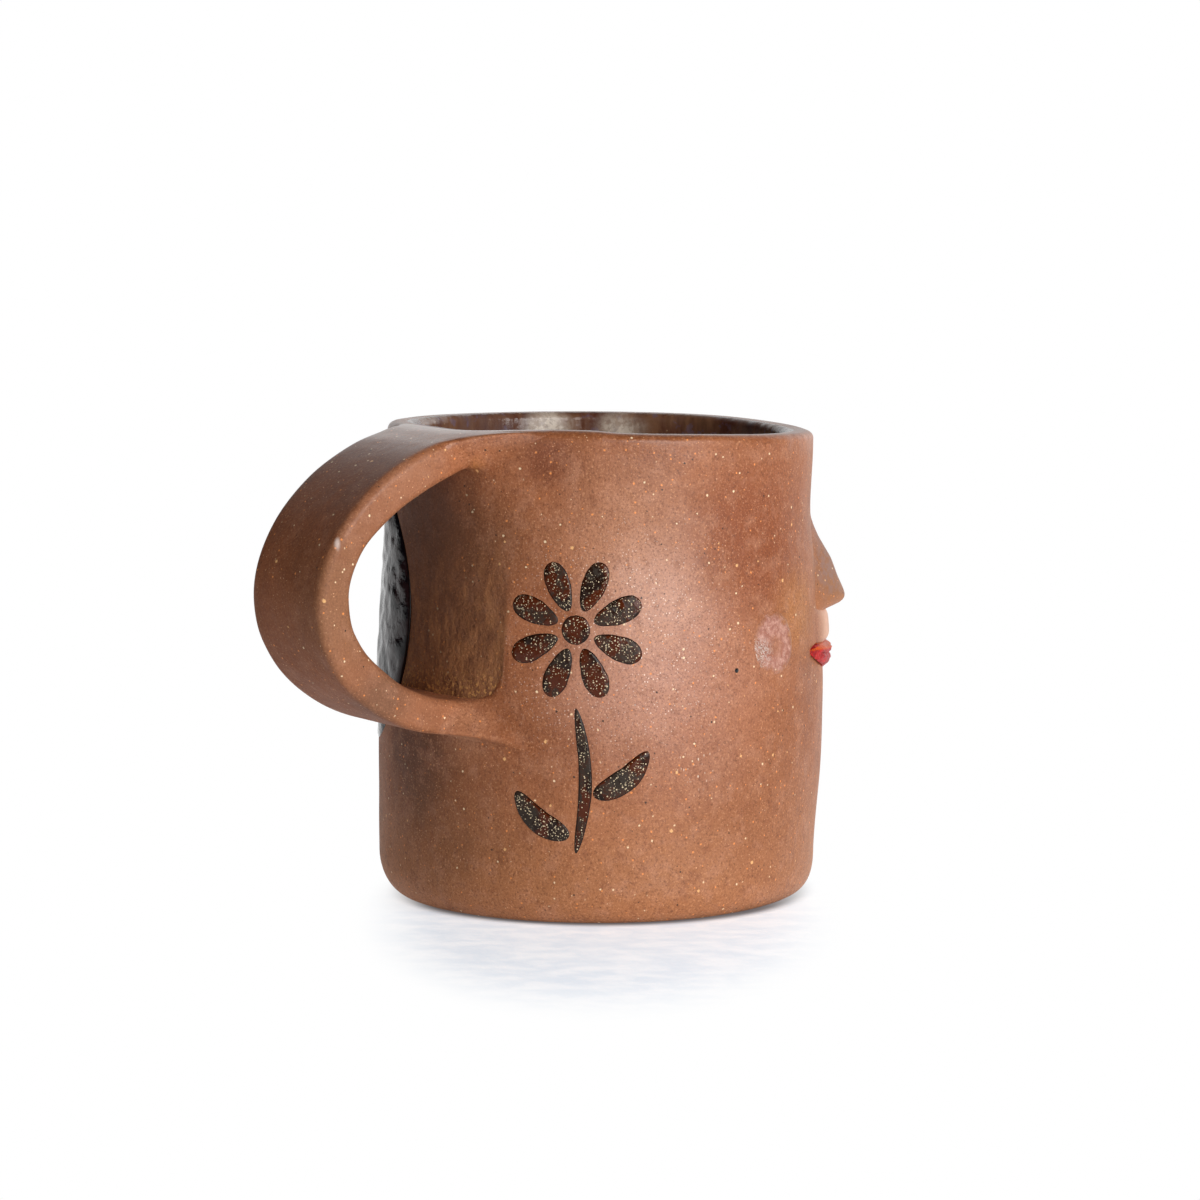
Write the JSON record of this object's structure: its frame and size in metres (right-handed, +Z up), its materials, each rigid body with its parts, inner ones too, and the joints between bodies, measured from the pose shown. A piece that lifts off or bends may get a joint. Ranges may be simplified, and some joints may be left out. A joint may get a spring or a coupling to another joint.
{
  "type": "mug",
  "caption": "Hand-built stoneware mug: a round cup with a flat strap handle, a small relief nose and mouth on its wall, and glossy brushed glaze marks.",
  "frame": {"origin": "centre of the foot, on the surface that the mug stands on", "axes": "+Z up through the mouth; the handle points along -X; the relief face looks 42 degrees from +X towards -Y"},
  "size_m": [0.1191, 0.0864, 0.0906],
  "materials": {
    "clay_body": "satin",
    "clay_slip": "matte",
    "liner_glaze": "gloss",
    "dark_glaze": "gloss",
    "lip_glaze": "gloss",
    "blush_slip": "satin"
  },
  "bodies": {
    "root": {"floor_disc": "clay_body", "body_wall": "clay_body", "handle_strap": "clay_body", "nose": "clay_body", "philtrum": "clay_body", "seam_coil": "clay_body", "upper_slip_bed": "clay_slip", "lower_slip_bed": "clay_slip", "inner_glaze": "liner_glaze", "upper_lip": "lip_glaze", "lower_lip": "lip_glaze", "near_blush": "blush_slip", "far_blush": "blush_slip", "back_spot": "dark_glaze", "flower_dot": "dark_glaze", "flower_stem": "dark_glaze", "flower_leaf_1": "dark_glaze", "flower_leaf_2": "dark_glaze", "flower_petal_1": "dark_glaze", "flower_petal_2": "dark_glaze", "flower_petal_3": "dark_glaze", "flower_petal_4": "dark_glaze", "flower_petal_5": "dark_glaze", "flower_petal_6": "dark_glaze", "flower_petal_7": "dark_glaze", "flower_petal_8": "dark_glaze"}
  },
  "joints": []
}
